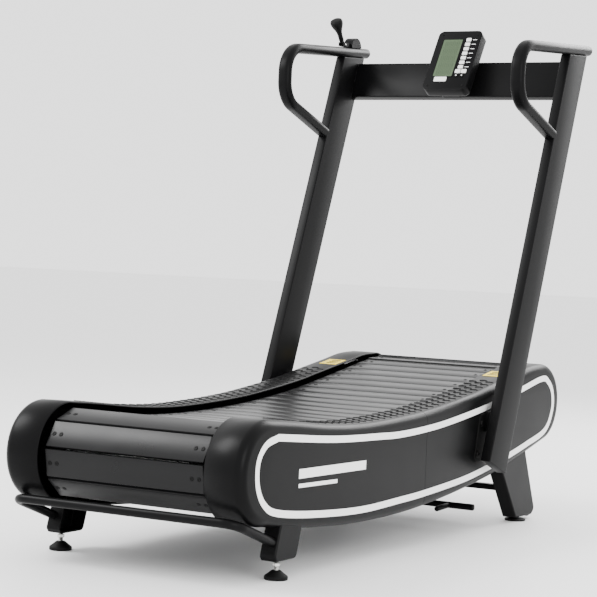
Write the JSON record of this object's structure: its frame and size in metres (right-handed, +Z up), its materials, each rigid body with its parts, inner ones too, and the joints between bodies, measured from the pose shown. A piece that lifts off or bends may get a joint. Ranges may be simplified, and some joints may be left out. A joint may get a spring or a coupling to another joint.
{
  "type": "curved manual treadmill",
  "caption": "Self-powered treadmill with a curved slat belt on two drums, side covers, leaning uprights, loop handles, a magnetic brake lever and a console.",
  "frame": {"origin": "on the floor under the middle of the bounding box", "axes": "+Z up, +Y to the front (console end), +X to the user's right"},
  "size_m": [0.852, 1.945, 1.5782],
  "materials": {
    "powder_black": "satin powder coat",
    "shell_black": "fine grained",
    "slat_grey": "ribbed rubber slats",
    "rubber_black": "matte",
    "zinc": "zinc plated",
    "aluminium": "turned",
    "key_white": "satin",
    "display_glass": "clear over a grey-green display"
  },
  "bodies": {
    "frame": {"side_rail_left": "powder_black", "side_rail_right": "powder_black", "cross_tube_rear": "powder_black", "cross_tube_front": "powder_black", "rear_leg_left": "powder_black", "rear_leg_right": "powder_black", "front_leg_left": "powder_black", "front_leg_right": "powder_black", "leg_cross_tube": "powder_black", "under_frame_rod": "powder_black", "rear_lifting_bar": "powder_black", "upright_left": "powder_black", "upright_right": "powder_black", "crossbar": "powder_black", "handle_left": "powder_black", "handle_right": "powder_black", "rear_bearing_left": "powder_black", "rear_bearing_right": "powder_black", "front_bearing_left": "powder_black", "front_bearing_right": "powder_black", "magnet_bracket": "powder_black", "console_bracket": "powder_black", "rear_cover_left": "shell_black", "rear_cover_right": "shell_black", "front_cover_left": "shell_black", "front_cover_right": "shell_black", "console_shell": "shell_black", "console_face": "shell_black", "slat_belt": "slat_grey", "lever_pin": "zinc", "lever_housing": "rubber_black", "display_lens": "display_glass"},
    "rear_drum": {"rear_shaft": "zinc", "rear_pulley_left": "aluminium", "rear_pulley_right": "aluminium"},
    "front_drum": {"front_shaft": "zinc", "front_pulley_left": "aluminium", "front_pulley_right": "aluminium", "brake_disc": "aluminium"},
    "magnet": {"magnet_yoke": "aluminium"},
    "lever": {"resistance_lever": "rubber_black"},
    "mode_key_1_cap": {"mode_key_1": "key_white"},
    "mode_key_2_cap": {"mode_key_2": "key_white"},
    "mode_key_3_cap": {"mode_key_3": "key_white"},
    "mode_key_4_cap": {"mode_key_4": "key_white"},
    "mode_key_5_cap": {"mode_key_5": "key_white"},
    "mode_key_6_cap": {"mode_key_6": "key_white"},
    "mode_key_7_cap": {"mode_key_7": "key_white"},
    "down_key_cap": {"down_key": "key_white"},
    "up_key_cap": {"up_key": "key_white"},
    "stop_key_cap": {"stop_key": "rubber_black"},
    "start_key_cap": {"start_key": "rubber_black"},
    "enter_key_cap": {"enter_key": "key_white"},
    "rear_foot_left_body": {"rear_foot_left": "rubber_black"},
    "rear_foot_right_body": {"rear_foot_right": "rubber_black"},
    "front_foot_left_body": {"front_foot_left": "rubber_black"},
    "front_foot_right_body": {"front_foot_right": "rubber_black"},
    "transport_wheel_left_body": {"transport_wheel_left": "rubber_black"},
    "transport_wheel_right_body": {"transport_wheel_right": "rubber_black"}
  },
  "joints": [
    {"name": "rear_drum_spin", "type": "hinge", "parent": "frame", "child": "rear_drum", "pos_m": [0, -0.841, 0.273], "axis": [1, 0, 0], "continuous": true},
    {"name": "front_drum_spin", "type": "hinge", "parent": "frame", "child": "front_drum", "pos_m": [0, 0.839, 0.363], "axis": [1, 0, 0], "continuous": true},
    {"name": "lever_swing", "type": "hinge", "parent": "frame", "child": "lever", "pos_m": [-0.4, 0.808, 1.4995], "axis": [-1, 0, 0], "range_deg": [0, 50]},
    {"name": "magnet_swing", "type": "hinge", "parent": "frame", "child": "magnet", "pos_m": [-0.333, 0.716, 0.392], "axis": [-1, 0, 0], "range_deg": [0, 15]},
    {"name": "mode_key_1_press", "type": "slide", "parent": "frame", "child": "mode_key_1_cap", "axis": [0, 0.8563, -0.5165], "range_m": [0, 0.0012], "stiffness_N_per_m": 300},
    {"name": "mode_key_2_press", "type": "slide", "parent": "frame", "child": "mode_key_2_cap", "axis": [0, 0.8563, -0.5165], "range_m": [0, 0.0012], "stiffness_N_per_m": 300},
    {"name": "mode_key_3_press", "type": "slide", "parent": "frame", "child": "mode_key_3_cap", "axis": [0, 0.8563, -0.5165], "range_m": [0, 0.0012], "stiffness_N_per_m": 300},
    {"name": "mode_key_4_press", "type": "slide", "parent": "frame", "child": "mode_key_4_cap", "axis": [0, 0.8563, -0.5165], "range_m": [0, 0.0012], "stiffness_N_per_m": 300},
    {"name": "mode_key_5_press", "type": "slide", "parent": "frame", "child": "mode_key_5_cap", "axis": [0, 0.8563, -0.5165], "range_m": [0, 0.0012], "stiffness_N_per_m": 300},
    {"name": "mode_key_6_press", "type": "slide", "parent": "frame", "child": "mode_key_6_cap", "axis": [0, 0.8563, -0.5165], "range_m": [0, 0.0012], "stiffness_N_per_m": 300},
    {"name": "mode_key_7_press", "type": "slide", "parent": "frame", "child": "mode_key_7_cap", "axis": [0, 0.8563, -0.5165], "range_m": [0, 0.0012], "stiffness_N_per_m": 300},
    {"name": "down_key_press", "type": "slide", "parent": "frame", "child": "down_key_cap", "axis": [0, 0.8563, -0.5165], "range_m": [0, 0.0012], "stiffness_N_per_m": 300},
    {"name": "up_key_press", "type": "slide", "parent": "frame", "child": "up_key_cap", "axis": [0, 0.8563, -0.5165], "range_m": [0, 0.0012], "stiffness_N_per_m": 300},
    {"name": "stop_key_press", "type": "slide", "parent": "frame", "child": "stop_key_cap", "axis": [0, 0.8563, -0.5165], "range_m": [0, 0.0012], "stiffness_N_per_m": 300},
    {"name": "start_key_press", "type": "slide", "parent": "frame", "child": "start_key_cap", "axis": [0, 0.8563, -0.5165], "range_m": [0, 0.0012], "stiffness_N_per_m": 300},
    {"name": "enter_key_press", "type": "slide", "parent": "frame", "child": "enter_key_cap", "axis": [0, 0.8563, -0.5165], "range_m": [0, 0.0012], "stiffness_N_per_m": 300},
    {"name": "rear_foot_left_turn", "type": "hinge", "parent": "frame", "child": "rear_foot_left_body", "pos_m": [-0.332, -0.7467, 0], "axis": [0, 0, 1], "continuous": true},
    {"name": "rear_foot_right_turn", "type": "hinge", "parent": "frame", "child": "rear_foot_right_body", "pos_m": [0.332, -0.7467, 0], "axis": [0, 0, 1], "continuous": true},
    {"name": "front_foot_left_turn", "type": "hinge", "parent": "frame", "child": "front_foot_left_body", "pos_m": [-0.332, 0.7187, 0], "axis": [0, 0, 1], "continuous": true},
    {"name": "front_foot_right_turn", "type": "hinge", "parent": "frame", "child": "front_foot_right_body", "pos_m": [0.332, 0.7187, 0], "axis": [0, 0, 1], "continuous": true},
    {"name": "transport_wheel_left_spin", "type": "hinge", "parent": "frame", "child": "transport_wheel_left_body", "pos_m": [-0.3285, 0.8, 0.036], "axis": [1, 0, 0], "continuous": true},
    {"name": "transport_wheel_right_spin", "type": "hinge", "parent": "frame", "child": "transport_wheel_right_body", "pos_m": [0.3285, 0.8, 0.036], "axis": [1, 0, 0], "continuous": true}
  ],
  "couplings": [
    {"joint": "front_drum_spin", "follows": "rear_drum_spin", "ratio": 1},
    {"joint": "magnet_swing", "follows": "lever_swing", "ratio": 0.3}
  ]
}
